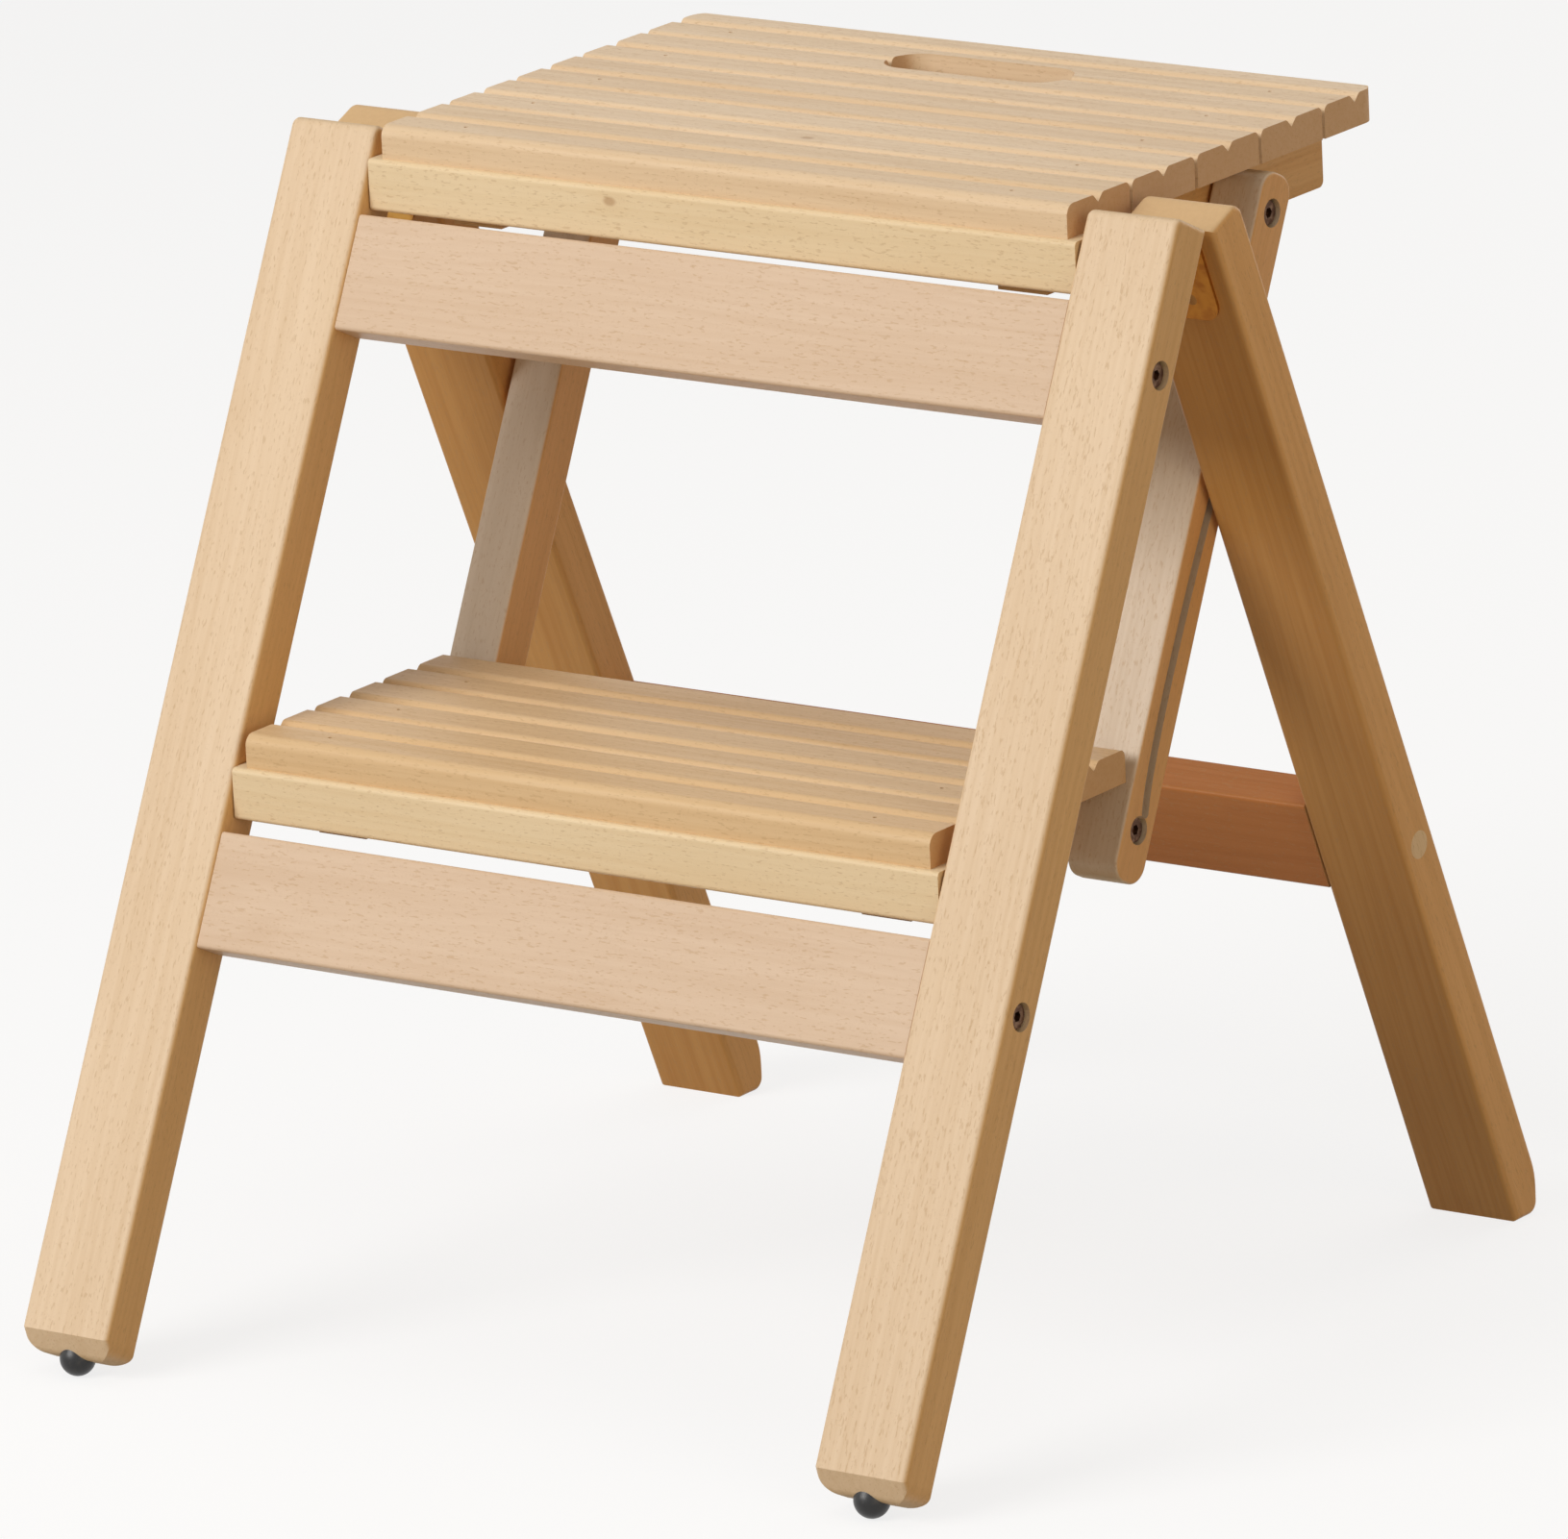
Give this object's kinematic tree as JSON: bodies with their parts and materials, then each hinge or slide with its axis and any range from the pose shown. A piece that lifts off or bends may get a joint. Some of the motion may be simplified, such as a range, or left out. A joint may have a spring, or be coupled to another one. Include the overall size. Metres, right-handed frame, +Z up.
{
  "type": "folding step stool",
  "caption": "Folding wooden two-tread step stool whose slatted seat and tread swing up on side links while the rear legs close against the front legs",
  "frame": {"origin": "on the floor, at the centre of the bounding box in X and Y", "axes": "+X to the right as seen from the front, +Y from the front toes to the rear heels, +Z up"},
  "size_m": [0.44, 0.4658, 0.482],
  "materials": {
    "beech_legs": "clear satin lacquer",
    "beech_links": "clear satin lacquer",
    "beech_rails": "clear satin lacquer",
    "beech_boards": "clear satin lacquer",
    "beech_plugs": "end grain, clear satin lacquer",
    "zinc_steel": "zinc plated",
    "brass": "plated",
    "black_rubber": "matte"
  },
  "bodies": {
    "front_frame": {"front_hinge_leaf_left": "brass", "front_hinge_leaf_right": "brass", "front_hinge_screws": "brass", "front_leg_left": "beech_legs", "front_leg_right": "beech_legs", "front_rail_barrel_nuts": "zinc_steel", "front_rail_bolts": "zinc_steel", "hinge_pins": "brass", "lower_front_rail": "beech_rails", "seat_pivot_pins": "zinc_steel", "step_pivot_pins": "zinc_steel", "toe_glide_left": "black_rubber", "toe_glide_right": "black_rubber", "upper_front_rail": "beech_rails"},
    "rear_frame": {"guide_pins": "zinc_steel", "rear_hinge_leaf_left": "brass", "rear_hinge_leaf_right": "brass", "rear_hinge_screws": "brass", "rear_leg_left": "beech_legs", "rear_leg_right": "beech_legs", "rear_rail": "beech_rails", "rear_rail_barrel_nuts": "zinc_steel", "rear_rail_bolts": "zinc_steel", "rear_rail_plugs": "beech_plugs"},
    "seat": {"seat_apron": "beech_rails", "seat_batten_left": "beech_rails", "seat_batten_right": "beech_rails", "seat_board_1": "beech_boards", "seat_board_2": "beech_boards", "seat_board_3": "beech_boards", "seat_board_4": "beech_boards", "seat_board_5": "beech_boards", "seat_brads": "zinc_steel", "seat_link_bolts": "zinc_steel", "seat_link_nuts": "zinc_steel", "seat_link_washers": "zinc_steel"},
    "step": {"step_apron": "beech_rails", "step_batten_left": "beech_rails", "step_batten_right": "beech_rails", "step_board_1": "beech_boards", "step_board_2": "beech_boards", "step_board_3": "beech_boards", "step_brads": "zinc_steel", "step_link_bolts": "zinc_steel", "step_link_nuts": "zinc_steel", "step_link_washers": "zinc_steel"},
    "link_left": {"link_left": "beech_links"},
    "link_right": {"link_right": "beech_links"}
  },
  "joints": [
    {"name": "seat_fold", "type": "hinge", "parent": "front_frame", "child": "seat", "pos_m": [0, -0.00407, 0.4585], "axis": [1, 0, 0], "range_deg": [0, 55.43]},
    {"name": "step_fold", "type": "hinge", "parent": "front_frame", "child": "step", "pos_m": [0, -0.11838, 0.22721], "axis": [1, 0, 0], "range_deg": [0, 55.43]},
    {"name": "rear_leg_fold", "type": "hinge", "parent": "front_frame", "child": "rear_frame", "pos_m": [0, 0.0158, 0.46689], "axis": [1, 0, 0], "range_deg": [-49.2, 0]},
    {"name": "link_left_swing", "type": "hinge", "parent": "seat", "child": "link_left", "pos_m": [-0.161, 0.13093, 0.4475], "axis": [1, 0, 0], "range_deg": [-55.43, 0]},
    {"name": "link_right_swing", "type": "hinge", "parent": "seat", "child": "link_right", "pos_m": [0.161, 0.13093, 0.4475], "axis": [1, 0, 0], "range_deg": [-55.43, 0]}
  ],
  "couplings": [
    {"joint": "step_fold", "follows": "seat_fold", "ratio": 1},
    {"joint": "rear_leg_fold", "follows": "seat_fold", "ratio": -0.88758},
    {"joint": "link_left_swing", "follows": "seat_fold", "ratio": -1},
    {"joint": "link_right_swing", "follows": "seat_fold", "ratio": -1}
  ]
}
